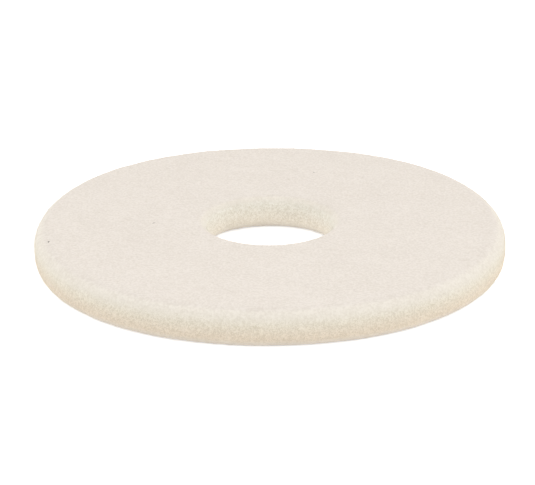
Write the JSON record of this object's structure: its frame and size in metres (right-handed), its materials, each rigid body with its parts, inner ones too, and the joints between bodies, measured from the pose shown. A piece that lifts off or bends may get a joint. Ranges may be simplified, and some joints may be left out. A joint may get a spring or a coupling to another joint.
{
  "type": "felt polishing wheel",
  "caption": "Thick round disc of pressed wool felt with a plain centre hole, spun on a flat lap or grinder to put the last polish on stone.",
  "frame": {"origin": "on the back face, at the centre of the hole", "axes": "+Z along the wheel's axis, from the back face to the polishing face; X and Y in the plane of the wheel"},
  "size_m": [0.2, 0.2, 0.015],
  "materials": {
    "felt": "matt pressed wool felt, natural cream"
  },
  "bodies": {
    "root": {"felt_disc": "felt"}
  },
  "joints": []
}
